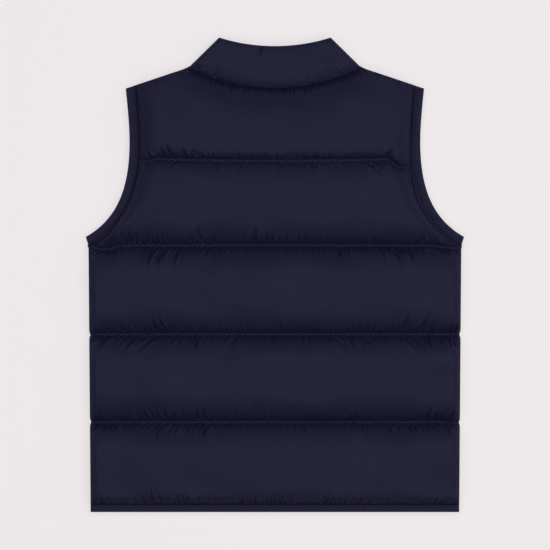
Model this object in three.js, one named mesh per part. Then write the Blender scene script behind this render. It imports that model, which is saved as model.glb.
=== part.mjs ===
// A child's quilted vest, laid flat on its front with the back up.
// Millimetres. +Z is up, +Y runs towards the collar and +X to the right of the back.
// The origin lies on the surface, under the middle of the vest.
// Back and fronts are padded walls: plain on the inside, raised between the quilt lines outside.
import * as THREE from "three";

// The outline as it lies, in half widths from the centre back
const LENGTH = 493.4; // hem to collar tips, the driving size
const HEM_Y = -LENGTH / 2;
const HALF_CHEST = 193.9;
const HALF_HEM = 191.7;
const NECK_CORNER = plan(89.6, 215.8); // where collar and shoulder meet
const SHOULDER_TIP = plan(155.2, 193.8);
const ARMHOLE_WAIST = plan(151.2, 138.7); // the narrowest place across the back
const UNDERARM = plan(196.8, 39.4); // outer corner of the binding
const SIDE_TOP = plan(HALF_CHEST, 30.4); // inner corner of the binding, on the side seam
const COLLAR_TIP = plan(58.2, LENGTH / 2);
const BACK_NECK_DROP = 21;
const FRONT_NECK_DROP = 66;
const COLLAR_BACK_DIP = 9; // how far the top edge sinks at the centre back
const COLLAR_FRONT_TOP = 193.4; // top edge at the zip

// Trims and seams
const SEAM_GAP = 0.3;
const BINDING_WIDTH = 9.4;
const HEM_WIDTH = 8.3;
const ZIP_HALF = 5;
const FRONT_EDGE = ZIP_HALF + SEAM_GAP;

// Heights
const MID_Z = 12; // the plane in which back and fronts lie on each other
const EDGE_THICK = 2.2; // a padded wall where it is sewn flat
const BACK_LOFT = 17; // rise of a chamber over its seams
const FRONT_LOFT = 15; // pressed flat by the surface under it
const GATHER = { depth: 0.9, peak: 5 }; // small gathers beside each quilt line

// How far from a seam the padding is full
const ROUNDING = { quilt: 36, side: 15, neck: 24, shoulder: 38 };

// Quilt lines from the hem up: height in the middle, rise at the sides, notch in the outline
const QUILT_LINES = [
  { y: HEM_Y + HEM_WIDTH + SEAM_GAP, rise: 0, notch: 0 },
  { y: -152.9, rise: 0, notch: 1.2 },
  { y: -61.8, rise: 0, notch: 1.2 },
  { y: 30.7, rise: -0.6, notch: 0 },
  { y: 118.4, rise: 2.6, notch: 0 },
];

// Rows of points in a chamber, as shares of its height
const ROWS = [0, 0.035, 0.09, 0.17, 0.28, 0.42, 0.58, 0.72, 0.83, 0.91, 0.965];
// Columns beyond the neck corner, as shares of the way to the side
const SIDE_COLUMNS = [0.2, 0.43, 0.66, 0.83, 0.94, 1];
const NECK_COLUMNS = 12;
const INNER_STEP = 6; // the plain inside keeps one column in six
const NEAR_ZIP = [0.02, 0.06]; // columns of a front beside its zip edge

// Sections of the strips: place across the strip, and height over its plain inside
const COLLAR_SECTION = [
  { across: 0, high: 2.2 },
  { across: 0.06, high: 5.2 },
  { across: 0.17, high: 8.2 },
  { across: 0.34, high: 10.8 },
  { across: 0.54, high: 11.5 },
  { across: 0.75, high: 10.9 },
  { across: 0.92, high: 8.6 },
  { across: 1, high: 4.4 },
];
const BINDING_SECTION = [
  { across: 0, high: 2 },
  { across: 0.28, high: 2.8 },
  { across: 0.78, high: 2.6 },
  { across: 1, high: 1.5 },
];
const STRIP_STATIONS = 13;
const FOLD_ANGLES = [0.2, 0.4, 0.6, 0.8].map((share) => share * Math.PI);

// Zip section from the centre outwards, and the slider's outline from its lower end up
const ZIP = { thick: 1.6, ridgeHalf: 2.6, ridgeThick: 2.8 };
const SLIDER = { thick: 2.6, below: 4 };
const SLIDER_STATIONS = [
  { along: 0, half: 2.4 },
  { along: 1.5, half: 3.2 },
  { along: 6, half: 3.6 },
  { along: 9.5, half: 4.4 },
  { along: 11, half: 3.6 },
];

const NAVY = 0x24243a;
const { lerp, clamp } = THREE.MathUtils;

function plan(x, y) {
  return new THREE.Vector2(x, y);
}

function material(name, color, roughness, metalness = 0) {
  return new THREE.MeshStandardMaterial({ name, color, roughness, metalness });
}

const shellCloth = material("shell_cloth", NAVY, 0.5);
const bindingCloth = material("binding_cloth", NAVY, 0.6);
const zipPlastic = material("zip_plastic", NAVY, 0.65);
const sliderMetal = material("slider_metal", 0x2b2b33, 0.4, 0.8);

// How full the padding is at a distance from a seam: 0 on it, 1 from the reach onwards
function fullness(distance, reach) {
  const left = 1 - clamp(distance / reach, 0, 1);
  return Math.pow(1 - Math.pow(left, 2.2), 0.7);
}

function neckLine(x, drop) {
  return NECK_CORNER.y - drop * (1 - (x / NECK_CORNER.x) ** 2);
}

function shoulderLine(x) {
  const along = (Math.abs(x) - NECK_CORNER.x) / (SHOULDER_TIP.x - NECK_CORNER.x);
  return lerp(NECK_CORNER.y, SHOULDER_TIP.y, along);
}

// Upper edge of a panel: the neckline, a seam gap below the collar, and then the shoulder
function topLine(x, drop) {
  if (Math.abs(x) > NECK_CORNER.x + SEAM_GAP) return shoulderLine(x);
  const slope = (2 * drop * x) / NECK_CORNER.x ** 2;
  return neckLine(x, drop) - SEAM_GAP * Math.hypot(1, slope);
}

// The armhole on the +X side, from the shoulder tip through its waist to the underarm
const armholeCurves = [
  new THREE.CubicBezierCurve(
    SHOULDER_TIP,
    plan(SHOULDER_TIP.x - 1.8, SHOULDER_TIP.y - 17),
    plan(ARMHOLE_WAIST.x, ARMHOLE_WAIST.y + 15.7),
    ARMHOLE_WAIST,
  ),
  new THREE.CubicBezierCurve(
    ARMHOLE_WAIST,
    plan(ARMHOLE_WAIST.x, ARMHOLE_WAIST.y - 57.4),
    plan(UNDERARM.x - 27.4, UNDERARM.y + 16.3),
    UNDERARM,
  ),
];

// Both edges of the binding: the seam to the panel, and the rim of the armhole
const armhole = armholeCurves.flatMap((curve, half) =>
  curve.getPoints(60).map((rim, i) => {
    const tangent = curve.getTangent(i / 60);
    const seam = rim.clone().add(plan(tangent.y, -tangent.x).setLength(BINDING_WIDTH));
    return { seam, rim, along: half === 0 ? 1 - i / 60 : i / 60, half };
  }),
);
const shoulderSeam = plan(SHOULDER_TIP.x - BINDING_WIDTH, 0);
shoulderSeam.y = shoulderLine(shoulderSeam.x);
// The seam ends on the shoulder line above and on the side seam below
const seamEnds = [
  shoulderSeam.clone().sub(armhole[0].seam),
  SIDE_TOP.clone().sub(armhole.at(-1).seam),
];
armhole.forEach(({ seam, along, half }) => seam.addScaledVector(seamEnds[half], along ** 4));

// The binding's two edges where its seam passes a height
function armholeAt(y) {
  const found = armhole.findIndex(({ seam }) => seam.y <= y);
  const next = clamp(found < 0 ? armhole.length - 1 : found, 1, armhole.length - 1);
  const [upper, lower] = [armhole[next - 1], armhole[next]];
  const drop = upper.seam.y - lower.seam.y;
  const share = drop > 0 ? clamp((upper.seam.y - y) / drop, 0, 1) : 0;
  return {
    seam: upper.seam.clone().lerp(lower.seam, share),
    rim: upper.rim.clone().lerp(lower.rim, share),
  };
}

// Half width of a panel on a row: at the side seam, or a gap inside the binding
function halfWidth(y, chamber) {
  if (chamber >= 3 && y >= SIDE_TOP.y) {
    const { seam, rim } = armholeAt(y);
    const slant = (rim.x - seam.x) / rim.distanceTo(seam);
    return seam.x - SEAM_GAP / Math.max(slant, 0.5);
  }
  const side = lerp(HALF_HEM, HALF_CHEST, (y - HEM_Y) / (SIDE_TOP.y - HEM_Y));
  const notches = QUILT_LINES.map(
    (line) => line.notch * Math.max(0, 1 - Math.abs(line.y - y) / 5),
  );
  return side - Math.max(...notches);
}

// The rows of a panel from the hem up, each with its height at the side
const SHOULDER_Y = shoulderSeam.y;
const rowsUp = QUILT_LINES.flatMap((low, chamber) => {
  const high = QUILT_LINES[chamber + 1];
  const top = high ? high.y + high.rise : SHOULDER_Y;
  return ROWS.map((rise) => ({ chamber, rise, sideY: lerp(low.y + low.rise, top, rise) }));
});
rowsUp.push({ chamber: QUILT_LINES.length - 1, rise: 1, sideY: SHOULDER_Y });
const TOP_HALF = halfWidth(SHOULDER_Y, rowsUp.at(-1).chamber);

// A point of a panel on a row: its place, how full it is there and how far the next seam is.
// place(half) gives x on a row of that half width.
function panelPoint({ chamber, rise, sideY }, place, neckDrop) {
  const low = QUILT_LINES[chamber];
  const high = QUILT_LINES[chamber + 1];
  const half = halfWidth(sideY, chamber);
  const x = place(half);
  const topX = place(TOP_HALF);
  const bow = (x / half) ** 2;
  const yLow = low.y + low.rise * bow;
  const yHigh = high ? high.y + high.rise * bow : topLine(topX, neckDrop);
  const y = lerp(yLow, yHigh, rise);
  const pastNeck = clamp((Math.abs(topX) - NECK_CORNER.x + 8) / 24, 0, 1);
  const topReach = high ? ROUNDING.quilt : lerp(ROUNDING.neck, ROUNDING.shoulder, pastNeck);
  const full =
    fullness(y - yLow, ROUNDING.quilt) *
    fullness(yHigh - y, topReach) *
    fullness(half - Math.abs(x), ROUNDING.side);
  return { x, y, full, seam: Math.min(y - yLow, yHigh - y) };
}

// A geometry with its faces turned outwards
function solid(points, faces) {
  const positions = points.flatMap((point) => point.toArray());
  const volume = faces.reduce((sum, [a, b, c]) => {
    const normal = points[b].clone().cross(points[c]);
    return sum + points[a].dot(normal);
  }, 0);
  const turned = volume < 0 ? faces.map(([a, b, c]) => [a, c, b]) : faces;
  const geometry = new THREE.BufferGeometry();
  geometry.setAttribute("position", new THREE.Float32BufferAttribute(positions, 3));
  geometry.setIndex(turned.flat());
  geometry.computeVertexNormals();
  return geometry;
}

// A closed wall from two grids of points of the same rows and columns, outer and inner. Inside
// the rim the plain inner side keeps one column in INNER_STEP.
function wall(outer, inner) {
  const [rows, columns] = [outer.length, outer[0].length];
  const points = outer.flat();
  const faces = [];
  const fan = (corners) => {
    for (let i = 1; i + 1 < corners.length; i++) faces.push([corners[0], corners[i], corners[i + 1]]);
  };
  const top = (r, c) => r * columns + c;
  const base = inner.map((row, r) =>
    row.map((point, c) => {
      const kept = r === 0 || r === rows - 1 || c % INNER_STEP === 0;
      return kept ? points.push(point) - 1 : undefined;
    }),
  );
  const isPoint = (index) => index !== undefined;
  for (let r = 0; r + 1 < rows; r++) {
    for (let c = 0; c + 1 < columns; c++) {
      fan([top(r, c), top(r, c + 1), top(r + 1, c + 1), top(r + 1, c)]);
    }
    for (let c = 0; c + 1 < columns; c += INNER_STEP) {
      const lower = base[r].slice(c, c + INNER_STEP + 1).filter(isPoint);
      const upper = base[r + 1].slice(c, c + INNER_STEP + 1).filter(isPoint);
      // The fan starts on the row with fewer points
      if (r === 0) fan([upper[0], ...upper.slice(1).reverse(), ...lower.reverse()]);
      else fan([lower[0], ...upper, lower.at(-1)]);
    }
    const end = columns - 1;
    fan([top(r, 0), top(r + 1, 0), base[r + 1][0], base[r][0]]);
    fan([top(r + 1, end), top(r, end), base[r][end], base[r + 1][end]]);
  }
  for (let c = 0; c + 1 < columns; c++) {
    const last = rows - 1;
    fan([top(0, c + 1), top(0, c), base[0][c], base[0][c + 1]]);
    fan([top(last, c), top(last, c + 1), base[last][c + 1], base[last][c]]);
  }
  return solid(points, faces);
}

// A closed body through rings of points; a closed loft joins its last ring to its first
function loft(rings, closed) {
  const count = rings[0].length;
  const faces = [];
  const joins = closed ? rings.length : rings.length - 1;
  for (let r = 0; r < joins; r++) {
    const here = r * count;
    const next = ((r + 1) % rings.length) * count;
    for (let i = 0; i < count; i++) {
      const j = (i + 1) % count;
      faces.push([here + i, here + j, next + j], [here + i, next + j, next + i]);
    }
  }
  const last = (rings.length - 1) * count;
  for (let i = 1; i + 1 < count && !closed; i++) {
    faces.push([0, i + 1, i], [last, last + i, last + i + 1]);
  }
  return solid(rings.flat(), faces);
}

// A quilted panel. layer is 1 for the back, whose outside is up, and -1 for a front.
function panel({ layer, columns, place, neckDrop, highest, beside = () => 1 }) {
  const inner = [];
  const outer = rowsUp.map((row) => {
    const made = columns.map((column, i) => {
      const point = panelPoint(row, (half) => place(column, half), neckDrop);
      const full = point.full * beside(point.x);
      const uneven = 0.65 + 0.35 * Math.sin(1.7 * i + 2.3 * row.chamber);
      const near = (point.seam / GATHER.peak) * Math.exp(1 - point.seam / GATHER.peak);
      const gather = GATHER.depth * uneven * near * Math.sqrt(full) * (i % 2 ? 1 : -1);
      const thick = EDGE_THICK + highest * full + gather;
      const insideZ = MID_Z + (layer * SEAM_GAP) / 2;
      const outsideZ = Math.max(0, insideZ + layer * thick);
      return [insideZ, outsideZ].map((z) => new THREE.Vector3(point.x, point.y, z));
    });
    inner.push(made.map(([inside]) => inside));
    return made.map(([, outside]) => outside);
  });
  return wall(outer, inner);
}

// Columns of the back as shares of its half width, and of a front as shares of its width
const steps = (count) => Array.from({ length: count }, (_, i) => (i + 1) / count);
const neckShare = NECK_CORNER.x / TOP_HALF;
const halfColumns = [
  ...steps(NECK_COLUMNS).map((share) => neckShare * share),
  ...SIDE_COLUMNS.map((share) => lerp(neckShare, 1, share)),
];
const backColumns = [...halfColumns.map((share) => -share).reverse(), 0, ...halfColumns];
const frontNeckShare = (NECK_CORNER.x - FRONT_EDGE) / (TOP_HALF - FRONT_EDGE);
const frontColumns = [
  0,
  ...NEAR_ZIP,
  ...steps(NECK_COLUMNS - NEAR_ZIP.length).map((s) => lerp(NEAR_ZIP.at(-1), frontNeckShare, s)),
  ...SIDE_COLUMNS.map((share) => lerp(frontNeckShare, 1, share)),
];

function back() {
  return panel({
    layer: 1,
    columns: backColumns,
    place: (column, half) => column * half,
    neckDrop: BACK_NECK_DROP,
    highest: BACK_LOFT,
  });
}

// side is 1 for the front on the +X side and -1 for the other
function front(side) {
  return panel({
    layer: -1,
    columns: frontColumns,
    place: (column, half) => side * lerp(FRONT_EDGE, half, column),
    neckDrop: FRONT_NECK_DROP,
    highest: FRONT_LOFT,
    beside: (x) => fullness(Math.abs(x) - FRONT_EDGE, ROUNDING.side),
  });
}

// Rings of a strip that runs out to a fold on one layer and back from it on the other.
// first and second: stations { seam, rim, along, full } towards the fold, where along is 1; full
// is the fullness of the padding. seamway and rimway: directions of its edges at the fold.
function foldedRings({ layer, first, second, section, seamway, rimway }) {
  const ring = (station, angle) => {
    const points = section.map(({ across, high }) => {
      const thick = lerp(Math.min(EDGE_THICK, high), high, station.full ?? 1);
      const way = seamway.clone().lerp(rimway, across).normalize();
      const flat = station.seam.clone().lerp(station.rim, across);
      flat.addScaledVector(way, -thick * station.along ** 3);
      const normal = new THREE.Vector3(way.x, way.y, 0).multiplyScalar(Math.sin(angle));
      normal.z = layer * Math.cos(angle);
      const base = new THREE.Vector3(flat.x, flat.y, MID_Z).addScaledVector(normal, SEAM_GAP / 2);
      const outside = base.clone().addScaledVector(normal, thick);
      outside.z = Math.max(0, outside.z);
      return { base, outside };
    });
    return [...points.map(({ outside }) => outside), points.at(-1).base, points[0].base];
  };
  return [
    ...first.map((station) => ring(station, 0)),
    ...FOLD_ANGLES.map((angle) => ring(first.at(-1), angle)),
    ...[...second].reverse().map((station) => ring(station, Math.PI)),
  ];
}

// A strip with one fold at each side: made on the +X side and mirrored at the centre back
function mirroredStrip(half) {
  const rings = foldedRings({ ...half, layer: -1 });
  const flipped = (p) => new THREE.Vector3(-p.x, p.y, p.z);
  const mirrored = rings.slice(0, -1).map((ring) => ring.map(flipped));
  return loft([...rings, ...mirrored.reverse()], false);
}

function collar() {
  const alongs = [0, ...steps(STRIP_STATIONS)];
  const frontHalf = alongs.map((along) => {
    const seam = plan(lerp(FRONT_EDGE, NECK_CORNER.x, along), 0);
    seam.y = neckLine(seam.x, FRONT_NECK_DROP);
    const top = lerp(COLLAR_FRONT_TOP, COLLAR_TIP.y, along ** 2);
    const rim = plan(lerp(FRONT_EDGE, COLLAR_TIP.x, along), top);
    return { seam, rim, along, full: fullness(seam.x - FRONT_EDGE, ROUNDING.side) };
  });
  const backHalf = alongs.map((along) => {
    const seam = plan(NECK_CORNER.x * along, neckLine(NECK_CORNER.x * along, BACK_NECK_DROP));
    const rim = plan(COLLAR_TIP.x * along, COLLAR_TIP.y - COLLAR_BACK_DIP * (1 - along ** 2));
    return { seam, rim, along };
  });
  return mirroredStrip({
    first: frontHalf,
    second: backHalf,
    section: COLLAR_SECTION,
    seamway: plan(NECK_CORNER.x, 2 * BACK_NECK_DROP).normalize(),
    rimway: plan(COLLAR_TIP.x, 2 * COLLAR_BACK_DIP).normalize(),
  });
}

function hemBand() {
  const stations = (start) =>
    [0, ...steps(STRIP_STATIONS)].map((along) => ({
      seam: plan(lerp(start, HALF_HEM, along), HEM_Y + HEM_WIDTH),
      rim: plan(lerp(start, HALF_HEM, along), HEM_Y),
      along,
    }));
  return mirroredStrip({
    first: stations(FRONT_EDGE),
    second: stations(0),
    section: BINDING_SECTION,
    seamway: plan(1, 0),
    rimway: plan(1, 0),
  });
}

// The binding round one armhole, a closed strip with a fold at the shoulder and the underarm
function armholeBinding(side) {
  const armRows = rowsUp.filter((row) => row.chamber >= 3);
  const waist = armRows.findIndex((row) => row.chamber === 4);
  const ends = [armhole.at(-1), armhole[0]];
  const stationsTo = (rows, end) => {
    const made = rows.map(({ sideY }) => armholeAt(sideY));
    made[made.length - 1] = { seam: end.seam, rim: end.rim };
    return made.map(({ seam, rim }, i) => ({
      seam: plan(side * seam.x, seam.y),
      rim: plan(side * rim.x, rim.y),
      along: i / (made.length - 1),
    }));
  };
  const fold = (layer, stations) => {
    const [before, end] = stations.slice(-2);
    return foldedRings({
      layer,
      first: stations,
      second: stations,
      section: BINDING_SECTION,
      seamway: end.seam.clone().sub(before.seam).normalize(),
      rimway: end.rim.clone().sub(before.rim).normalize(),
    });
  };
  const down = fold(1, stationsTo(armRows.slice(0, waist + 1).reverse(), ends[0]));
  const up = fold(-1, stationsTo(armRows.slice(waist), ends[1]));
  return loft([...down.slice(0, -1), ...up.slice(0, -1)], true);
}

// The zip between the fronts: tape with one raised row of closed teeth down its middle
function zip() {
  const top = MID_Z - SEAM_GAP / 2;
  const half = [
    { x: ZIP_HALF, z: top },
    { x: ZIP_HALF, z: top - ZIP.thick },
    { x: ZIP.ridgeHalf, z: top - ZIP.thick },
    { x: ZIP.ridgeHalf, z: top - ZIP.ridgeThick },
  ];
  const outline = [...half, ...half.map(({ x, z }) => ({ x: -x, z })).reverse()];
  const rings = [HEM_Y, COLLAR_FRONT_TOP].map((y) =>
    outline.map(({ x, z }) => new THREE.Vector3(x, y, z)),
  );
  return loft(rings, false);
}

function zipSlider() {
  const top = MID_Z - SEAM_GAP / 2 - ZIP.ridgeThick - SEAM_GAP;
  const start = COLLAR_FRONT_TOP - SLIDER.below - SLIDER_STATIONS.at(-1).along;
  const rings = SLIDER_STATIONS.map(({ along, half }) =>
    [
      [half, 0],
      [half, 0.6],
      [half - 0.8, 1],
      [0.8 - half, 1],
      [-half, 0.6],
      [-half, 0],
    ].map(([x, depth]) => new THREE.Vector3(x, start + along, top - SLIDER.thick * depth)),
  );
  return loft(rings, false);
}

const vest = new THREE.Group();
const parts = [
  { name: "back", geometry: back(), finish: shellCloth },
  { name: "front_left", geometry: front(-1), finish: shellCloth },
  { name: "front_right", geometry: front(1), finish: shellCloth },
  { name: "collar", geometry: collar(), finish: shellCloth },
  { name: "armhole_binding_left", geometry: armholeBinding(-1), finish: bindingCloth },
  { name: "armhole_binding_right", geometry: armholeBinding(1), finish: bindingCloth },
  { name: "hem_band", geometry: hemBand(), finish: bindingCloth },
  { name: "zip", geometry: zip(), finish: zipPlastic },
  { name: "zip_slider", geometry: zipSlider(), finish: sliderMetal },
];
for (const { name, geometry, finish } of parts) {
  const mesh = new THREE.Mesh(geometry, finish);
  mesh.name = name;
  vest.add(mesh);
}

export default vest;
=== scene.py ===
"""A child's quilted vest, lying flat with its back up, dressed for a picture from above.

The cut is drafted in millimetres, and every mesh is turned into metres where it is made.
"""

from __future__ import annotations

import logging
import math
from collections.abc import Mapping, Sequence
from dataclasses import dataclass, field, replace
from enum import Enum

import bpy
import numpy as np
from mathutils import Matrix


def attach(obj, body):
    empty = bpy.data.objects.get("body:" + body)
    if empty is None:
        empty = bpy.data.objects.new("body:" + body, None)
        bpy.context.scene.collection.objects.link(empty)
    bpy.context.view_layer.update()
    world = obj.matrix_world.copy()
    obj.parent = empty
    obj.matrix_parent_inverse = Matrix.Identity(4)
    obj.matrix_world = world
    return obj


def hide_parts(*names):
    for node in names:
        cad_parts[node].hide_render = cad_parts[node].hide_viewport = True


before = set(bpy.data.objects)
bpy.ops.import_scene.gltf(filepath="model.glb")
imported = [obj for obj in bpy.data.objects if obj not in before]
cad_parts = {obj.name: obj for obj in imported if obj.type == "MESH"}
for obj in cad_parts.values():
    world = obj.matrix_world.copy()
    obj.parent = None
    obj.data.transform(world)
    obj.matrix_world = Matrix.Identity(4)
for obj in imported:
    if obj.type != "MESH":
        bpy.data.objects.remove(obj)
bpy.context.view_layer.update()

LOG = logging.getLogger("vest")
MM = 0.001
Array = np.ndarray
Material, Body = bpy.types.Material, bpy.types.Object


# Shader expressions


class Shade:
    """A shader socket that takes part in Python expressions."""

    def __init__(self, graph: Graph, socket: bpy.types.NodeSocket) -> None:
        """Wraps an output socket of one of the graph's nodes."""
        self.graph = graph
        self.socket = socket

    def _with(self, operation: str, first: Link, second: Link) -> Shade:
        """The result of a Math or Vector Math operation on two operands."""
        kind = "ShaderNodeVectorMath" if self.socket.type == "VECTOR" else "ShaderNodeMath"
        return self.graph.node(kind, {"operation": operation}, {0: first, 1: second})

    def __add__(self, other: Link) -> Shade:
        """The sum."""
        return self._with("ADD", self, other)

    __radd__ = __add__

    def __sub__(self, other: Link) -> Shade:
        """The difference."""
        return self._with("SUBTRACT", self, other)

    def __rsub__(self, other: Link) -> Shade:
        """The difference from something else."""
        return self._with("SUBTRACT", other, self)

    def __mul__(self, other: Link) -> Shade:
        """The product."""
        return self._with("MULTIPLY", self, other)

    __rmul__ = __mul__

    def tint(self, dark: Colour, light: Colour) -> Shade:
        """Turns a value into a colour between two.

        Args:
            dark: The colour at 0.
            light: The colour at 1.

        Returns:
            The colour's socket.
        """
        settings = {"data_type": "RGBA", "blend_type": "MIX"}
        links = {"Factor": self, 6: (*dark, 1.0), 7: (*light, 1.0)}
        return self.graph.node("ShaderNodeMix", settings, links, output=2)


Link = Shade | float | tuple[float, ...]
Colour = tuple[float, float, float]


class Graph:
    """The nodes of one material, or of the world."""

    def __init__(self, owner: Material | bpy.types.World) -> None:
        """Empties the owner's nodes.

        Args:
            owner: What the nodes dress.
        """
        owner.use_nodes = True
        self.owner = owner
        self.tree = owner.node_tree
        self.tree.nodes.clear()

    def node(
        self,
        kind: str,
        settings: Mapping[str, object] | None = None,
        links: Mapping[str | int, Link] | None = None,
        output: str | int = 0,
    ) -> Shade:
        """Adds a node.

        Args:
            kind: The node's type.
            settings: Its settings, set before its sockets. "stops" fills a colour ramp with
                (place, grey) pairs.
            links: Values or links of its inputs, by name or number.
            output: The output to go on from.

        Returns:
            That output.
        """
        made = self.tree.nodes.new(kind)
        for name, value in (settings or {}).items():
            if name == "stops":
                self._fill_ramp(made.color_ramp, value)
            else:
                setattr(made, name, value)
        for key, value in (links or {}).items():
            if isinstance(value, Shade):
                self.tree.links.new(value.socket, made.inputs[key])
            else:
                made.inputs[key].default_value = value
        return Shade(self, made.outputs[output])

    @staticmethod
    def _fill_ramp(ramp: bpy.types.ColorRamp, stops: Sequence[tuple[float, float]]) -> None:
        """Sets a ramp's stops.

        Args:
            ramp: A new node's ramp, which has two stops.
            stops: Pairs of place and grey value, from left to right.
        """
        while len(ramp.elements) < len(stops):
            ramp.elements.new(0.5)
        for element, (place, grey) in zip(ramp.elements, stops):
            element.position = place
            element.color = (grey, grey, grey, 1.0)

    def place(self, scale: Colour = (1.0, 1.0, 1.0), turn: float = 0.0) -> Shade:
        """The surface's place on the object.

        Args:
            scale: Stretch along X, Y and Z.
            turn: Turn about Z, in degrees.

        Returns:
            The place, in metres times the scale.
        """
        where = self.node("ShaderNodeTexCoord", output="Object")
        rotation = (0.0, 0.0, math.radians(turn))
        links = {"Vector": where, "Rotation": rotation, "Scale": scale}
        return self.node("ShaderNodeMapping", {"vector_type": "POINT"}, links)

    def noise(self, scale: float, detail: float = 2.0, where: Shade | None = None) -> Shade:
        """Smooth noise from 0 to 1, with so many grains per metre and so many octaves."""
        links = {"Vector": where or self.place(), "Scale": scale, "Detail": detail}
        return self.node("ShaderNodeTexNoise", {}, links)

    def wave(self, direction: str, scale: float, distortion: float, turn: float = 0.0) -> Shade:
        """Straight waves from 0 to 1.

        Args:
            direction: "X", "Y" or "DIAGONAL".
            scale: The texture's scale, in waves per metre.
            distortion: How unevenly they run.
            turn: Turn about Z, in degrees.

        Returns:
            The waves.
        """
        settings = {"wave_type": "BANDS", "bands_direction": direction}
        links = {"Vector": self.place(turn=turn), "Scale": scale, "Distortion": distortion}
        return self.node("ShaderNodeTexWave", settings, links, output="Fac")

    def weave(self, threads: float, turn: float = 0.0) -> Shade:
        """A plain weave's relief from 0 to 1, of so many threads per metre, turned in degrees."""
        warp, weft = (self.wave(direction, threads / 2, 0.4, turn) for direction in "XY")
        return (warp + weft) * 0.5

    def bump(self, height: Shade, distance: float, strength: float = 1.0) -> Shade:
        """A normal that follows a share of a relief, from 0 to 1, of a depth in metres."""
        links = {"Height": height, "Distance": distance, "Strength": strength}
        return self.node("ShaderNodeBump", {}, links)

    def finish(self, sockets: Mapping[str, Link]) -> Material:
        """Ends the graph in one surface shader.

        Args:
            sockets: Values and links of the Principled shader.

        Returns:
            The material.
        """
        surface = self.node("ShaderNodeBsdfPrincipled", {}, sockets)
        end = self.tree.nodes.new("ShaderNodeOutputMaterial")
        self.tree.links.new(surface.socket, end.inputs["Surface"])
        return self.owner


# Finishes


NAVY_SHEEN = (0.35, 0.33, 0.8, 1.0)


@dataclass(frozen=True)
class Finish:
    """A surface whose colour lies between two."""

    name = "finish"
    dark: Colour
    light: Colour

    def material(self) -> Material:
        """The finish as a new material."""
        graph = Graph(bpy.data.materials.new(self.name))
        return graph.finish(self.sockets(graph))

    def sockets(self, graph: Graph) -> dict[str, Link]:
        """Values and links of the finish's shader."""
        raise NotImplementedError


@dataclass(frozen=True)
class NylonShell(Finish):
    """Closely woven nylon with a soft sheen, a little uneven from the filling under it."""

    name = "nylon_shell"
    dark: Colour = (0.0213, 0.0200, 0.0575)
    light: Colour = (0.0248, 0.0232, 0.0660)
    roughness: tuple[float, float] = (0.46, 0.56)
    threads: float = 3600.0

    def sockets(self, graph: Graph) -> dict[str, Link]:
        """Values and links of the cloth's shader."""
        cloudy = graph.noise(22.0, 3.0)
        crinkle = graph.noise(240.0, 4.0, graph.place(scale=(1.0, 0.55, 1.0)))
        relief = crinkle * 0.7 + graph.weave(self.threads) * 0.3
        return {
            "Base Color": (cloudy * 0.7 + crinkle * 0.3).tint(self.dark, self.light),
            "Roughness": cloudy * (self.roughness[1] - self.roughness[0]) + self.roughness[0],
            "Normal": graph.bump(relief, 0.00022, 0.5),
            "Specular IOR Level": 0.12,
            "Sheen Weight": 0.04,
            "Sheen Roughness": 0.4,
            "Sheen Tint": NAVY_SHEEN,
        }


@dataclass(frozen=True)
class BiasBinding(Finish):
    """Bias-cut binding, its weave set at an angle and a little duller than the shell."""

    name = "bias_binding"
    dark: Colour = (0.0235, 0.0222, 0.0600)
    light: Colour = (0.0315, 0.0295, 0.0740)
    threads: float = 2600.0
    bias: float = 45.0

    def sockets(self, graph: Graph) -> dict[str, Link]:
        """Values and links of the binding's shader."""
        drag = graph.noise(160.0, 3.0, graph.place(scale=(1.0, 0.35, 1.0), turn=self.bias))
        relief = drag * 0.5 + graph.weave(self.threads, turn=self.bias) * 0.5
        return {
            "Base Color": drag.tint(self.dark, self.light),
            "Roughness": drag * 0.1 + 0.55,
            "Normal": graph.bump(relief, 0.00025, 0.55),
            "Specular IOR Level": 0.12,
            "Sheen Weight": 0.06,
            "Sheen Roughness": 0.5,
            "Sheen Tint": NAVY_SHEEN,
        }


@dataclass(frozen=True)
class SewingThread(Finish):
    """Spun polyester thread, twisted."""

    name = "sewing_thread"
    dark: Colour = (0.024, 0.022, 0.050)
    light: Colour = (0.042, 0.039, 0.080)

    def sockets(self, graph: Graph) -> dict[str, Link]:
        """Values and links of the thread's shader."""
        twist = graph.wave("DIAGONAL", 900.0, 0.5)
        return {
            "Base Color": twist.tint(self.dark, self.light),
            "Roughness": twist * 0.15 + 0.5,
            "Normal": graph.bump(twist, 0.0001, 0.8),
            "Specular IOR Level": 0.3,
        }


@dataclass(frozen=True)
class ZipTape(Finish):
    """Ribbed woven tape."""

    name = "zip_tape"
    dark: Colour = (0.009, 0.009, 0.022)
    light: Colour = (0.014, 0.013, 0.030)

    def sockets(self, graph: Graph) -> dict[str, Link]:
        """Values and links of the tape's shader."""
        ribs = graph.wave("Y", 700.0, 1.0)
        return {
            "Base Color": (ribs * 0.6 + graph.noise(300.0) * 0.4).tint(self.dark, self.light),
            "Roughness": ribs * 0.1 + 0.7,
            "Normal": graph.bump(ribs, 0.0002, 0.7),
            "Specular IOR Level": 0.25,
        }


@dataclass(frozen=True)
class MouldedTeeth(Finish):
    """Moulded plastic, faintly grained."""

    name = "moulded_teeth"
    dark: Colour = (0.010, 0.010, 0.024)
    light: Colour = (0.016, 0.015, 0.032)

    def sockets(self, graph: Graph) -> dict[str, Link]:
        """Values and links of the teeth's shader."""
        grain = graph.noise(1500.0, 2.0)
        return {
            "Base Color": grain.tint(self.dark, self.light),
            "Roughness": grain * 0.15 + 0.32,
            "Normal": graph.bump(grain, 0.00005, 0.4),
            "Specular IOR Level": 0.45,
        }


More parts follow.
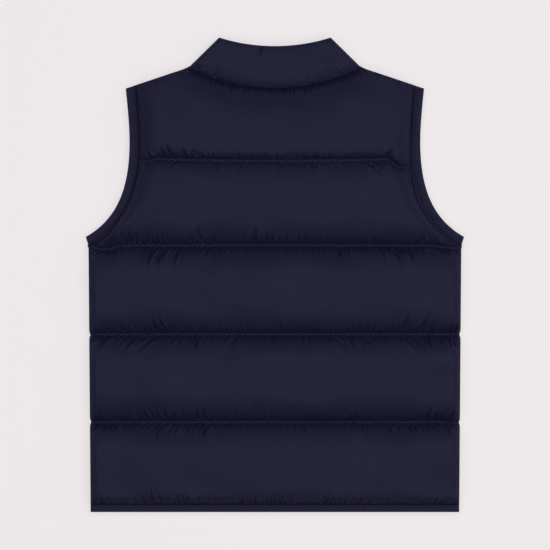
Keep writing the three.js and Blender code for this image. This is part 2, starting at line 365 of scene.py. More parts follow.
@dataclass(frozen=True)
class SliderLacquer(Finish):
    """Dark lacquer on cast metal, rubbed a little at random."""

    name = "slider_lacquer"
    dark: Colour = (0.018, 0.018, 0.026)
    light: Colour = (0.050, 0.050, 0.060)
    rubbed: tuple[tuple[float, float], ...] = ((0.55, 0.0), (0.75, 1.0))

    def sockets(self, graph: Graph) -> dict[str, Link]:
        """Values and links of the lacquer's shader."""
        links = {"Fac": graph.noise(420.0, 5.0)}
        rubbed = graph.node("ShaderNodeValToRGB", {"stops": self.rubbed}, links)
        worn = graph.node("ShaderNodeRGBToBW", {}, {"Color": rubbed})
        return {
            "Base Color": worn.tint(self.dark, self.light),
            "Roughness": worn * 0.2 + 0.28,
            "Metallic": worn * 0.5 + 0.35,
            "Normal": graph.bump(graph.noise(900.0), 0.00004, 0.4),
            "Coat Weight": 0.3,
        }


@dataclass(frozen=True)
class PaleGround(Finish):
    """The plain pale surface under the vest, a light table that takes most of its shadow away."""

    name = "pale_ground"
    dark: Colour = (0.400, 0.386, 0.390)
    light: Colour = (0.410, 0.396, 0.400)
    glow: Colour = (0.638, 0.611, 0.618)

    def sockets(self, graph: Graph) -> dict[str, Link]:
        """Values and links of the ground's shader."""
        return {
            "Base Color": graph.noise(40.0).tint(self.dark, self.light),
            "Roughness": 0.9,
            "Specular IOR Level": 0.1,
            "Emission Color": (*self.glow, 1.0),
            "Emission Strength": 1.0,
        }


# Meshes


@dataclass
class Skin:
    """Points and faces of one closed mesh, in millimetres."""

    points: list[Array] = field(default_factory=list)
    faces: list[tuple[int, ...]] = field(default_factory=list)
    count: int = 0

    def add(self, points: Array) -> int:
        """Adds points.

        Args:
            points: Rows of x, y and z.

        Returns:
            The number of the first.
        """
        first = self.count
        self.points.append(points.reshape(-1, 3))
        self.count += len(self.points[-1])
        return first

    def take(self, other: Skin) -> None:
        """Adds another closed mesh, which was made in one go."""
        first = self.add(other.points[0])
        self.faces += [tuple(first + i for i in face) for face in other.faces]

    def piece(self, name: str, finish: Material, slot: str) -> Body:
        """Makes the object, which rides on the vest's one body.

        Args:
            name: The piece's name.
            finish: Its material.
            slot: Not used.

        Returns:
            The object.
        """
        mesh = bpy.data.meshes.new(name)
        mesh.from_pydata(np.vstack(self.points) * MM, [], self.faces)
        mesh.validate()
        mesh.shade_smooth()
        mesh.materials.append(finish)
        made = bpy.data.objects.new(name, mesh)
        bpy.context.scene.collection.objects.link(made)
        self._face_out(made)
        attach(made, "root")
        LOG.info("%s: %d faces", name, len(mesh.polygons))
        return made

    @staticmethod
    def _face_out(made: Body) -> None:
        """Turns the faces of an object's closed mesh outwards."""
        mesh = made.data
        mesh.calc_loop_triangles()
        corners = np.array([tuple(t.vertices) for t in mesh.loop_triangles])
        places = np.array([v.co for v in mesh.vertices])
        a, b, c = (places[corners[:, i]] for i in range(3))
        if np.einsum("ij,ij->i", a, np.cross(b, c)).sum() < 0:
            mesh.flip_normals()


def walled(outer: Array, inner: Array, keep: int) -> Skin:
    """Closes a wall between an outer grid of points and a plain inner one.

    Args:
        outer: Points in rows and columns.
        inner: Points of the same rows and columns.
        keep: Inside the rim, the inner side keeps one column in this many.

    Returns:
        The closed wall.
    """
    rows, columns = outer.shape[:2]
    skin = Skin()
    skin.add(outer)
    top = np.arange(rows * columns).reshape(rows, columns)
    base = np.full((rows, columns), -1)
    kept = np.zeros((rows, columns), bool)
    kept[[0, -1]] = True
    kept[:, ::keep] = True
    kept[:, -1] = True
    base[kept] = skin.count + np.arange(kept.sum())
    skin.add(inner[kept])
    grid = np.stack([top[:-1, :-1], top[:-1, 1:], top[1:, 1:], top[1:, :-1]], axis=-1)
    skin.faces += [tuple(face) for face in grid.reshape(-1, 4).tolist()]
    starts = range(0, columns - 1, keep)
    for r in range(rows - 1):
        for start in starts:
            end = min(start + keep, columns - 1)
            lower = [i for i in base[r, start : end + 1].tolist() if i >= 0]
            upper = [i for i in base[r + 1, start : end + 1].tolist() if i >= 0]
            skin.faces.append((*upper, *reversed(lower)))
        skin.faces.append((top[r, 0], top[r + 1, 0], base[r + 1, 0], base[r, 0]))
        skin.faces.append((top[r + 1, -1], top[r, -1], base[r, -1], base[r + 1, -1]))
    for c in range(columns - 1):
        skin.faces.append((top[0, c + 1], top[0, c], base[0, c], base[0, c + 1]))
        skin.faces.append((top[-1, c], top[-1, c + 1], base[-1, c + 1], base[-1, c]))
    return skin


def lofted(rings: Array, closed: bool) -> Skin:
    """Closes a body through rings of points.

    Args:
        rings: Rings, points and coordinates.
        closed: Whether the last ring joins the first.

    Returns:
        The closed body.
    """
    skin = Skin()
    skin.add(rings)
    number = np.arange(rings.shape[0] * rings.shape[1]).reshape(rings.shape[:2])
    here = number if closed else number[:-1]
    there = np.roll(number, -1, axis=0) if closed else number[1:]
    faces = [here, np.roll(here, -1, axis=1), np.roll(there, -1, axis=1), there]
    skin.faces += [tuple(face) for face in np.stack(faces, axis=-1).reshape(-1, 4).tolist()]
    if not closed:
        skin.faces.append(tuple(reversed(number[0].tolist())))
        skin.faces.append(tuple(number[-1].tolist()))
    return skin


def mixed(low: Array | float, high: Array | float, share: Array | float) -> Array:
    """A value a share of the way from a low one to a high one."""
    return low + (high - low) * share


def smooth_through(at: Array, places: Sequence[float], values: Sequence[float]) -> Array:
    """A smooth curve through a few values.

    Args:
        at: Where to read it.
        places: The values' places, rising.
        values: The values.

    Returns:
        The curve's values.
    """
    x, y = np.asarray(places, float), np.asarray(values, float)
    slopes = np.gradient(y, x)
    i = np.clip(np.searchsorted(x, at) - 1, 0, len(x) - 2)
    step = x[i + 1] - x[i]
    t = (at - x[i]) / step
    return (
        (2 * t**3 - 3 * t**2 + 1) * y[i]
        + (t**3 - 2 * t**2 + t) * step * slopes[i]
        + (3 * t**2 - 2 * t**3) * y[i + 1]
        + (t**3 - t**2) * step * slopes[i + 1]
    )


# The cut


class Layer(Enum):
    """The two layers of the vest as it lies, and which way each faces."""

    BACK = 1
    FRONT = -1


class Hand(Enum):
    """The two sides of the vest, and which way each lies from the centre back."""

    LEFT = -1
    RIGHT = 1


@dataclass(frozen=True)
class QuiltLine:
    """One quilt line: its height, the rise of its ends and the notch it draws in the side."""

    y: float
    rise: float = 0.0
    notch: float = 0.0


@dataclass(frozen=True)
class Bend:
    """A place where a quilt line of the back leaves its course, from one x to another."""

    line: int
    start: float
    end: float
    shift: float

    def at(self, x: Array) -> Array:
        """Shift of the line at x."""
        share = np.clip((x - self.start) / (self.end - self.start), 0, 1)
        return self.shift * share**2 * (3 - 2 * share)


BACK_BENDS = (
    Bend(4, 115.0, 129.0, -8.5),
    Bend(4, 129.0, 146.0, -2.0),
    Bend(4, -121.0, -134.0, -3.0),
    Bend(4, -134.0, -146.0, 4.0),
    Bend(3, -158.0, -174.0, -4.0),
    Bend(3, -176.0, -192.0, 2.5),
    Bend(3, 160.0, 178.0, -2.0),
    Bend(2, -178.0, -192.0, -1.0),
    Bend(1, 176.0, 192.0, -1.2),
)


@dataclass
class Cut:
    """The outline and seams of the vest as it lies, in half widths from the centre back."""

    length: float = 493.4
    half_chest: float = 193.9
    half_hem: float = 191.7
    neck_corner: tuple[float, float] = (89.6, 215.8)
    shoulder_tip: tuple[float, float] = (155.2, 193.8)
    armhole_waist: tuple[float, float] = (151.2, 138.7)
    underarm: tuple[float, float] = (196.8, 39.4)
    side_top: tuple[float, float] = (193.9, 30.4)
    collar_half: float = 58.2
    collar_dip: float = 9.0
    collar_front_top: float = 193.4
    tuck: float = 1.2
    binding_width: float = 9.4
    hem_width: float = 8.3
    zip_half: float = 5.0
    middle: float = 12.0
    seam_thick: float = 2.2
    notch_reach: float = 2.6
    least_slant: float = 0.5
    armhole_chamber: int = 3
    armhole_steps: int = 120
    seam: Array = field(init=False)
    rim: Array = field(init=False)
    lines: tuple[QuiltLine, ...] = field(init=False)

    def __post_init__(self) -> None:
        """Works out the quilt lines and both edges of the armhole binding."""
        self.lines = (
            QuiltLine(self.hem_y + self.hem_width - self.tuck),
            QuiltLine(-152.9, notch=1.2),
            QuiltLine(-61.8, notch=1.2),
            QuiltLine(30.7, rise=-0.6),
            QuiltLine(118.4, rise=2.6),
        )
        tip, waist, arm = map(np.array, (self.shoulder_tip, self.armhole_waist, self.underarm))
        upper = (tip, tip + (-1.8, -17), waist + (0, 15.7), waist)
        lower = (waist, waist + (0, -57.4), arm + (-27.4, 16.3), arm)
        shoulder_x = tip[0] - self.binding_width
        ends = (np.array((shoulder_x, self.shoulder_line(shoulder_x))), np.array(self.side_top))
        edges = [self._binding_edges(upper, ends[0], True), self._binding_edges(lower, ends[1])]
        self.seam = np.vstack([edges[0][0], edges[1][0][1:]])[::-1]
        self.rim = np.vstack([edges[0][1], edges[1][1][1:]])[::-1]

    def _binding_edges(
        self, corners: Sequence[Array], end: Array, at_start: bool = False
    ) -> tuple[Array, Array]:
        """Both edges of the binding along one Bezier curve of the armhole.

        Args:
            corners: The curve's four points.
            end: Where the inner edge ends.
            at_start: Whether that is the curve's start.

        Returns:
            The seam to the panel, and the rim.
        """
        t = np.linspace(0, 1, self.armhole_steps + 1)[:, None]
        p0, p1, p2, p3 = corners
        rim = (1 - t) ** 3 * p0 + 3 * (1 - t) ** 2 * t * p1 + 3 * (1 - t) * t**2 * p2 + t**3 * p3
        way = (1 - t) ** 2 * (p1 - p0) + 2 * (1 - t) * t * (p2 - p1) + t**2 * (p3 - p2)
        across = np.stack([way[:, 1], -way[:, 0]], axis=1) / np.hypot(*way.T)[:, None]
        seam = rim + across * self.binding_width
        share = (1 - t if at_start else t) ** 4
        return seam + (end - (seam[0] if at_start else seam[-1])) * share, rim

    @property
    def hem_y(self) -> float:
        """Height of the hem."""
        return -self.length / 2

    @property
    def front_edge(self) -> float:
        """How far a front's edge lies from the middle of the zip."""
        return self.zip_half + 0.3

    def shoulder_line(self, x: Array | float) -> Array | float:
        """Height of the shoulder seam at x."""
        (neck_x, neck_y), (tip_x, tip_y) = self.neck_corner, self.shoulder_tip
        return mixed(neck_y, tip_y, (np.abs(x) - neck_x) / (tip_x - neck_x))

    def neck_line(self, x: Array | float, drop: float) -> Array | float:
        """Height of the collar seam at x, with the drop that the neckline has in the middle."""
        return self.neck_corner[1] - drop * (1 - (x / self.neck_corner[0]) ** 2)

    def is_armhole(self, y: Array, chamber: Array) -> Array:
        """Whether the side of a chamber is the armhole at height y, and not the side seam."""
        return (chamber >= self.armhole_chamber) & (y >= self.side_top[1])

    def half_width(self, y: Array, chamber: Array) -> Array:
        """Half width of a panel, from the side seam up to the edge of the binding.

        Args:
            y: Heights at the side.
            chamber: The chamber that each is in.

        Returns:
            The half widths.
        """
        seam_x = np.interp(y, self.seam[:, 1], self.seam[:, 0])
        rim = [np.interp(y, self.seam[:, 1], self.rim[:, i]) for i in range(2)]
        slant = (rim[0] - seam_x) / np.hypot(rim[0] - seam_x, rim[1] - y)
        tucked = seam_x + self.tuck / np.maximum(slant, self.least_slant)
        share = (y - self.hem_y) / (self.side_top[1] - self.hem_y)
        side = mixed(self.half_hem, self.half_chest, share)
        for line in self.lines:
            side = side - line.notch * np.exp(-(((y - line.y) / self.notch_reach) ** 2))
        return np.where(self.is_armhole(y, chamber), tucked, side)


# Powers of the padding's section: how early it turns down to a seam, and how steeply it meets it
TURN, STEEPNESS = 2.2, 0.64

# Beside the collar the padding stands high at once: distance in mm, fullness
NECK_FULLNESS = np.array(
    (
        (0.0, 0.0),
        (1.0, 0.28),
        (3.0, 0.41),
        (6.0, 0.51),
        (10.0, 0.61),
        (15.0, 0.73),
        (20.0, 0.82),
        (30.0, 0.93),
        (40.0, 0.98),
        (50.0, 1.0),
        (60.0, 1.0),
    )
).T


def fullness(distance: Array, reach: Array | float) -> Array:
    """How full the padding is, from 0 at a seam to 1 from the reach on."""
    left = 1 - np.clip(distance / reach, 0, 1)
    return (1 - left**TURN) ** STEEPNESS


def neck_fullness(distance: Array) -> Array:
    """How full the padding is at a distance from the collar."""
    return smooth_through(np.clip(distance, 0, NECK_FULLNESS[0, -1]), *NECK_FULLNESS)


# Puckers


class Edge(Enum):
    """The two seams of a chamber, and which way its cloth lies from each."""

    LOWER = 1
    UPPER = -1


@dataclass(frozen=True)
class PuckerRow:
    """Puckers along one seam of a chamber, with their strength from its left to its right."""

    chamber: int
    edge: Edge
    strengths: tuple[float, ...]
    lean: float = 1.6

    def strength(self, share: float) -> float:
        """Strength at a share of the half width, from -1 at the left to 1 at the right."""
        places = np.linspace(-0.9, 0.9, len(self.strengths))
        return float(np.interp(share, places, self.strengths))


# How much a leaning fold turns upright towards its end, and how its lean grows from the middle
CURL, LEAN_POWER = 0.45, 0.8


def fold(off: Array, power: float, ridge: float, ridge_off: float = 2.1) -> Array:
    """A fold's section over distances in its widths: 1 in its depth, below 0 on both ridges."""
    return np.exp(-(off**power)) - ridge * np.exp(-((off - ridge_off) ** 2))


@dataclass(frozen=True)
class Pucker:
    """A sharp fold that runs from a seam into the padding, with soft ridges beside it."""

    x: float
    lean: float
    length: float
    depth: float
    width: float
    power: float = 1.3
    ridge: float = 0.42
    widening: float = 0.4
    fading: float = 0.9
    start: float = 0.9

    def dent(self, x: Array, away: Array) -> Array:
        """How deep the cloth dips.

        Args:
            x: Places along the seam.
            away: Distances from it.

        Returns:
            The depth, below 0 on the ridges.
        """
        run = np.clip(away / self.length, 0, 1)
        curl = self.lean * away * (1 - CURL * run)
        steep = np.hypot(1, self.lean * (1 - 2 * CURL * run))
        off = np.abs(x - self.x - curl) / steep / (self.width * (1 + self.widening * run))
        fade = (1 - run) ** self.fading
        dip = self.depth * fold(off, self.power, self.ridge)
        return dip * fade * (1 - np.exp(-away / self.start))


@dataclass(frozen=True)
class Crease:
    """A single listed fold, from its deep end to where it fades out."""

    start: tuple[float, float]
    end: tuple[float, float]
    depth: float
    width: float
    power: float = 1.6
    ridge: float = 0.4
    bow: float = 0.5

    def dent(self, x: Array, y: Array) -> Array:
        """How deep the cloth dips, below 0 on the ridge beside the fold.

        Args:
            x: Places across.
            y: Heights.

        Returns:
            The depths.
        """
        way = np.subtract(self.end, self.start)
        length = float(np.hypot(*way))
        way = way / length
        dx, dy = x - self.start[0], y - self.start[1]
        run = (dx * way[0] + dy * way[1]) / length
        bowed = self.bow * np.sin(math.pi * np.clip(run, 0, 1))
        off = np.abs((dx * way[1] - dy * way[0]) / self.width + bowed)
        # It sets in at once, a little before its start, and fades over the second half
        fade = np.clip(run / 0.15 + 0.3, 0, 1) * np.clip((1.05 - run) / 0.6, 0, 1)
        return self.depth * fold(off, self.power, self.ridge) * fade


# x and y of the deep end, x and y of the far end, depth, width
CREASE_TABLE = (
    (-128, 121, -133, 131, 4.5, 0.9),
    (-131, 119, -141, 122, 3.9, 0.9),
    (-133, 112, -142, 108, 4.8, 1.3),
    (-110.5, 119.5, -118, 132, 4.5, 0.9),
    (-103.5, 120, -112.5, 134, 4.5, 0.9),
    (-75, 120, -86, 131, 4.2, 1.0),
    (111, 120, 124, 131, 3.6, 1.1),
    (96, 116, 111, 106, 4.5, 1.2),
    (103, 119, 113, 123, 3.9, 0.9),
    (-166, 35, -172, 45, 7.5, 1.0),
    (-163, 33, -152, 37.5, 6.0, 0.9),
    (-151, 33, -145, 43, 6.8, 1.0),
    (-141, 33.5, -146, 44, 6.0, 0.9),
    (-134, 33.5, -126, 41, 6.0, 0.9),
    (-177, 31, -184, 38, 5.1, 1.0),
    (-109, 33.5, -115, 42, 5.0, 0.9),
    (-113.5, 28, -118, 13.5, 5.0, 1.0),
    (-99.5, 28, -107, 9, 5.0, 1.0),
    (-184, 28, -158, 25, 5.4, 1.0),
    (-157, 27, -138, 23, 5.1, 1.0),
    (150, 34, 158, 42, 5.4, 1.4),
    (158, 24, 172, 20, 3.9, 1.4),
    (170, 37, 182, 33, 3.3, 1.2),
    (122, 26, 132, 12, 4.2, 1.1),
    (-125, -64, -147, -80, 5.4, 1.3),
    (-144, -63.5, -160, -78, 5.7, 1.3),
    (-112, -59, -121, -45, 4.8, 1.2),
    (60, -64, 83, -82, 5.4, 1.4),
    (88, -64, 104, -73, 4.2, 1.2),
    (132, -64, 152, -79, 5.1, 1.3),
    (146, -66, 166, -84, 4.5, 1.3),
    (170, -63, 190, -70, 3.9, 1.2),
    (131, -57, 144, -40, 5.1, 1.2),
    (150, -57, 162, -43, 4.8, 1.2),
)
BACK_CREASES = tuple(Crease(row[:2], row[2:4], *row[4:]) for row in CREASE_TABLE)

# Read off the back. The fronts, which the photograph doesn't show, have the same
PUCKER_ROWS = (
    PuckerRow(4, Edge.UPPER, (0.0, 0.1, 0.5, 0.8, 0.5, 0.15, 0.0), lean=0.5),
    PuckerRow(4, Edge.LOWER, (0.5, 0.7, 0.55, 0.4, 0.45, 0.5, 0.25)),
    PuckerRow(3, Edge.UPPER, (0.95, 0.6, 0.55, 0.5, 0.6, 0.6, 0.85)),
    PuckerRow(3, Edge.LOWER, (0.6, 1.3, 1.3, 1.0, 1.3, 1.5, 0.9)),
    PuckerRow(2, Edge.UPPER, (0.9, 1.0, 0.75, 0.7, 0.65, 1.1, 1.0)),
    PuckerRow(2, Edge.LOWER, (0.8, 0.7, 0.8, 0.6, 0.8, 0.95, 1.2)),
    PuckerRow(1, Edge.UPPER, (1.0, 0.9, 0.75, 0.6, 0.95, 1.2, 1.2)),
    PuckerRow(1, Edge.LOWER, (0.9, 0.8, 0.6, 0.6, 0.6, 0.9, 1.0)),
    PuckerRow(0, Edge.UPPER, (1.1, 1.1, 0.7, 0.55, 0.6, 0.8, 0.9)),
    PuckerRow(0, Edge.LOWER, (0.7, 0.55, 0.7, 0.75, 0.75, 0.7, 0.9), lean=1.5),
)


@dataclass(frozen=True)
class PuckerKind:
    """One kind of pucker: its spacing and the ranges of its sizes, in millimetres.

    The length is a least one and what the strongest adds to it. The evenness is how little its
    strength follows the row's.
    """

    spacing: float
    length: tuple[float, float]
    depth: tuple[float, float]
    width: tuple[float, float]
    lean: float
    scatter: float
    evenness: float = 0.0


@dataclass
class Gathers:
    """Every pucker of a panel, drawn from a seeded hand."""

    rows: tuple[PuckerRow, ...]
    seed: int
    hand: np.random.Generator = field(init=False)
    kinds: tuple[PuckerKind, ...] = (
        PuckerKind(8.5, (6, 8), (4.5, 10.5), (0.55, 1.0), 1.0, 0.3),
        PuckerKind(3.8, (4, 5), (6.5, 13.0), (0.55, 0.9), 0.8, 0.7, 0.5),
        PuckerKind(17.0, (9, 11), (0.4, 2.0), (3.0, 5.0), 0.6, 0.2),
    )
    clump: tuple[float, float] = (28, 90)
    clumping: float = 0.55
    weakest: float = 0.2
    size_power: float = 1.5
    step: tuple[float, float] = (0.5, 1.5)
    end_gap: float = 1.5

    def __post_init__(self) -> None:
        """Starts the random draws."""
        self.hand = np.random.default_rng(self.seed)

    def _row(self, row: PuckerRow, low: float, high: float) -> list[Pucker]:
        """The puckers of one row.

        Args:
            row: The row.
            low: Where the seam starts.
            high: Where it ends.

        Returns:
            Puckers of each kind.
        """
        draw = self.hand.uniform
        half = max(abs(low), abs(high))
        clump = Lumps(int(self.hand.integers(1000)), *self.clump)
        made = []
        for kind in self.kinds:
            x = low + kind.spacing * draw(0.2, 0.6)
            while x < high - self.end_gap:
                bunched = 1 + self.clumping * float(clump.height(np.array([x]), np.zeros(1))[0])
                strength = row.strength(x / half) * max(bunched, self.weakest)
                strength = mixed(strength, 1.0, kind.evenness)
                size = draw(0.2, 1.0) ** self.size_power
                lean = row.lean * kind.lean * np.sign(x) * abs(x / half) ** LEAN_POWER
                lean = lean * draw(0.6, 1.3) + draw(-kind.scatter, kind.scatter)
                length = kind.length[0] + kind.length[1] * size * strength
                depth = mixed(*kind.depth, size) * strength
                made.append(Pucker(x, lean, length, depth, draw(*kind.width)))
                x += kind.spacing * draw(*self.step)
        return made

    def dents(self, lie: Lie) -> Array:
        """How deep the cloth of a panel dips.

        Args:
            lie: The panel's points and their distances from its seams.

        Returns:
            The depths.
        """
        deep = np.zeros_like(lie.x)
        for row in self.rows:
            rows = lie.chamber == row.chamber
            away = (lie.below if row.edge is Edge.LOWER else lie.above)[rows]
            x = lie.x[rows]
            for pucker in self._row(row, float(x.min()), float(x.max())):
                deep[rows] += pucker.dent(x, away)
        return deep


@dataclass(frozen=True)
class Lumps:
    """Soft unevenness of the filling: a few waves of different length and direction."""

    seed: int
    shortest: float
    longest: float
    count: int = 14

    def height(self, x: Array, y: Array) -> Array:
        """Height from about -1 to 1.

        Args:
            x: Places across.
            y: Places along.

        Returns:
            The heights.
        """
        hand = np.random.default_rng(self.seed)
        total = np.zeros_like(x)
        for _ in range(self.count):
            size = 2 * math.pi / hand.uniform(self.shortest, self.longest)
            way, start = hand.uniform(0, 2 * math.pi, 2)
            total += np.sin(size * (x * math.cos(way) + y * math.sin(way)) + start)
        return total / math.sqrt(self.count)


# Panels


# An end of a panel that is at its side, and how far inner sides lie from the vest's middle
FAR, CORE = 1e4, 0.02


@dataclass
class Lie:
    """The points of a panel as it lies, and their distances from its seams."""

    x: Array
    y: Array
    chamber: Array
    below: Array
    above: Array
    beside: Array
    at_neck: Array
    low_reach: Array


@dataclass
class Panel:
    """A quilted panel: plain inside, raised between its quilt lines outside.

    A reach is the distance from a seam at which the padding is full, a strip the flat cloth along
    a seam, and yoke_fill how full the padding stays at the top quilt line.
    """

    cut: Cut
    name: str
    layer: Layer
    low: float
    high: float
    columns: int
    neck_drop: float
    loft: float
    seed: int
    puckers: tuple[PuckerRow, ...] = PUCKER_ROWS
    bends: tuple[Bend, ...] = ()
    creases: tuple[Crease, ...] = ()
    yoke_fill: float = 0.0
    rows_in_chamber: int = 24
    row_crowding: float = 0.75
    column_crowding: float = 0.14
    chamber_height: float = 90.0
    drift: float = 1.5
    drift_reach: float = 20.0
    drift_fade: float = 25.0
    seam_strip: float = 0.9
    deepest: float = 0.78
    highest: float = 0.2
    least_dent: float = 0.05
    quilt_reach: float = 36.0
    hem_reach: float = 13.0
    yoke_reach: float = 10.0
    under_yoke_reach: float = 32.0
    shoulder_reach: tuple[float, float] = (3.0, 50.0)
    shoulder_share: float = 0.4
    side_reach: float = 8.5
    armhole_reach: float = 22.0
    armhole_rise: float = 60.0
    armhole_strip: float = 0.2
    neck_strip: float = 1.9
    neck_blend: tuple[float, float] = (14.0, 20.0)
    yoke_spread: float = 15.0
    wandering: float = 0.16
    narrowing: tuple[float, float, float] = (0.96, 0.2, 0.08)
    softness: float = 0.9
    crinkling: float = 0.6
    crinkle_reach: float = 8.0
    side_fade: float = 3.0
    edge_seam: float = 0.6
    edge_climb: float = 2.5
    floor_softness: float = 1.1
    inside_step: int = 16
    stitch_gap: float = 1.5
    stitch_points: int = 300
    thread_lift: tuple[float, float] = (0.3, 0.1)

    def _rows(self) -> tuple[Array, Array, Array]:
        """Chamber, share of its height and height at the side, of each row."""
        even = np.arange(self.rows_in_chamber) / self.rows_in_chamber
        rise = even - self.row_crowding * np.sin(2 * math.pi * even) / (2 * math.pi)
        count = len(self.cut.lines)
        chamber = np.append(np.repeat(np.arange(count), len(rise)), count - 1)
        rise = np.append(np.tile(rise, count), 1.0)
        shoulder = self.cut.seam[-1, 1]
        starts = np.array([line.y + line.rise for line in self.cut.lines])
        ends = np.append(starts[1:], shoulder)
        return chamber, rise, mixed(starts[chamber], ends[chamber], rise)

    def _place(self, half: Array) -> Array:
        """x of every column on rows of a half width.

        Args:
            half: Half widths of the rows.

        Returns:
            Rows and columns of x.
        """
        even = np.linspace(-1, 1, self.columns)
        # Columns stand closer near the sides, where the padding turns down to its seam
        share = (even + self.column_crowding * np.sin(math.pi * even) + 1) / 2
        left, right = (
            np.full_like(half, end) if abs(end) < FAR else np.sign(end) * half
            for end in (self.low, self.high)
        )
        return mixed(left[:, None], right[:, None], share[None, :])

    def _drifted(self, x: Array, half: Array, rise: Array) -> Array:
        """Leans the columns of points outwards as the puckers lean, so that few rows draw them.

        Args:
            x: The points' x.
            half: Half widths of the rows.
            rise: Share of its chamber's height at each row.

        Returns:
            The leaning x.
        """
        away = np.minimum(np.minimum(rise, 1 - rise) * self.chamber_height, self.drift_reach)
        reach = away * (1 - CURL * away / self.drift_reach)
        share = x / half[:, None]
        lean = self.drift * np.sign(share) * np.abs(share) ** LEAN_POWER * (1 - np.abs(share) ** 8)
        if self.layer is Layer.FRONT:
            lean *= np.clip((np.abs(x) - self.cut.front_edge) / self.drift_fade, 0, 1)
        return x + lean * reach[:, None]

    def _line_y(self, number: Array, x: Array, half: Array) -> Array:
        """Height of a quilt line at every point of the rows above or below it.

        Args:
            number: The line of each row.
            x: The points' x.
            half: Half widths of the rows.

        Returns:
            The heights, 0 where there is no such line.
        """
        lines = (*self.cut.lines, QuiltLine(0.0))
        y = np.array([line.y for line in lines])[number][:, None]
        y = y + np.array([line.rise for line in lines])[number][:, None] * (x / half[:, None]) ** 2
        for bend in self.bends:
            y = y + (number == bend.line)[:, None] * bend.at(x)
        return y

    def lie(self) -> Lie:
        """Returns the panel's points as it lies."""
        cut = self.cut
        chamber, rise, side_y = self._rows()
        half = cut.half_width(side_y, chamber)
        x = self._drifted(self._place(half), half, rise)
        top_x = self._place(half[-1:])
        y_low, y_next = (self._line_y(chamber + step, x, half) for step in (0, 1))
        slope = 2 * self.neck_drop * top_x / cut.neck_corner[0] ** 2
        neck = cut.neck_line(top_x, self.neck_drop) + cut.tuck * np.hypot(1, slope)
        past = np.abs(top_x) > cut.neck_corner[0]
        top = np.where(past, cut.shoulder_line(top_x), neck)
        last = (chamber == len(cut.lines) - 1)[:, None]
        y_high = np.where(last, top, y_next)
        y = mixed(y_low, y_high, rise[:, None])
        tucked = cut.is_armhole(side_y, chamber) * cut.tuck
        beside = half[:, None] - np.abs(x) - tucked[:, None]
        beside = np.minimum(beside, np.minimum(x - self.low, self.high - x))
        y_high_seam = np.where(last & ~past, y_high - cut.tuck, y_high)
        past_corner, blend = self.neck_blend
        near_neck = np.clip((cut.neck_corner[0] + past_corner - np.abs(top_x)) / blend, 0, 1)
        reaches = [self.hem_reach, *[self.quilt_reach] * (len(cut.lines) - 2), self.yoke_reach]
        low_reach = np.array(reaches)[chamber][:, None]
        return Lie(x, y, chamber, y - y_low, y_high_seam - y, beside, last * near_neck, low_reach)

    def _past_strips(self, lie: Lie, at_armhole: Array) -> tuple[Array, Array, Array]:
        """Distances from the seams below, above and beside, past the flat strips along them."""
        strips = self.seam_strip, mixed(self.seam_strip, self.neck_strip, lie.at_neck)
        flat = (*strips, self.armhole_strip * at_armhole)
        distances = zip((lie.below, lie.above, lie.beside), flat)
        return tuple(np.maximum(distance - strip, 0) for distance, strip in distances)

    def _filling(
        self, lie: Lie, at_armhole: Array, below: Array, above: Array, beside: Array
    ) -> tuple[Array, Array]:
        """How full the padding is, and how much of it folds may take.

        Args:
            lie: The panel's points.
            at_armhole: How far up the armhole each is, from 0 to 1.
            below: Distances from the seam below.
            above: Distances from the seam above.
            beside: Distances from the side.

        Returns:
            The fullness and the room for folds, both from 0 to 1.
        """
        wander = Lumps(self.seed + 3, 22, 90).height(lie.x, 0.2 * lie.y)
        # The rolls turn down more sharply towards the sides, the right one most
        aside = lie.x / self.cut.half_chest
        middle, both, right = self.narrowing
        wander = (1 + self.wandering * wander) * (middle - both * aside**2 - right * aside**3)
        last = (lie.chamber == len(self.cut.lines) - 1)[:, None]
        under_yoke = (lie.chamber == len(self.cut.lines) - 2)[:, None]
        steep, gentle = (fullness(above, reach) for reach in self.shoulder_reach)
        shoulder = mixed(steep, gentle, self.shoulder_share)
        reach = np.where(under_yoke, self.under_yoke_reach, self.quilt_reach)
        at_top = np.where(last, shoulder, fullness(above, reach * wander))
        at_top = mixed(at_top, neck_fullness(above), lie.at_neck)
        at_low = fullness(below, lie.low_reach * wander)
        at_side = fullness(beside, mixed(self.side_reach, self.armhole_reach, at_armhole))
        # The padding stays fuller along the top quilt line, so folds have less room there
        from_yoke = np.where(last, below, np.where(under_yoke, above, np.inf))
        taken = self.yoke_fill * np.exp(-from_yoke / self.yoke_spread)
        room = at_low * at_top * at_side * (1 - taken)
        at_low = np.where(last, mixed(self.yoke_fill, 1, at_low), at_low)
        at_top = np.where(under_yoke, mixed(self.yoke_fill, 1, at_top), at_top)
        return at_low * at_top * at_side, room

    def _dents(self, lie: Lie, room: Array) -> Array:
        """How deep the cloth dips in its puckers and creases.

        Args:
            lie: The panel's points.
            room: How high the padding stands there.

        Returns:
            The depths, below 0 on ridges.
        """
        dents = Gathers(self.puckers, self.seed).dents(lie)
        for crease in self.creases:
            dents += crease.dent(lie.x, lie.y)
        # A fold never reaches the seam's own depth, so the cloth still climbs away from the seam
        share = np.where(dents > 0, self.deepest, self.highest)
        most = share * np.maximum(room, 0) + self.least_dent
        return np.sign(dents) * most * (1 - np.exp(-np.abs(dents) / most))

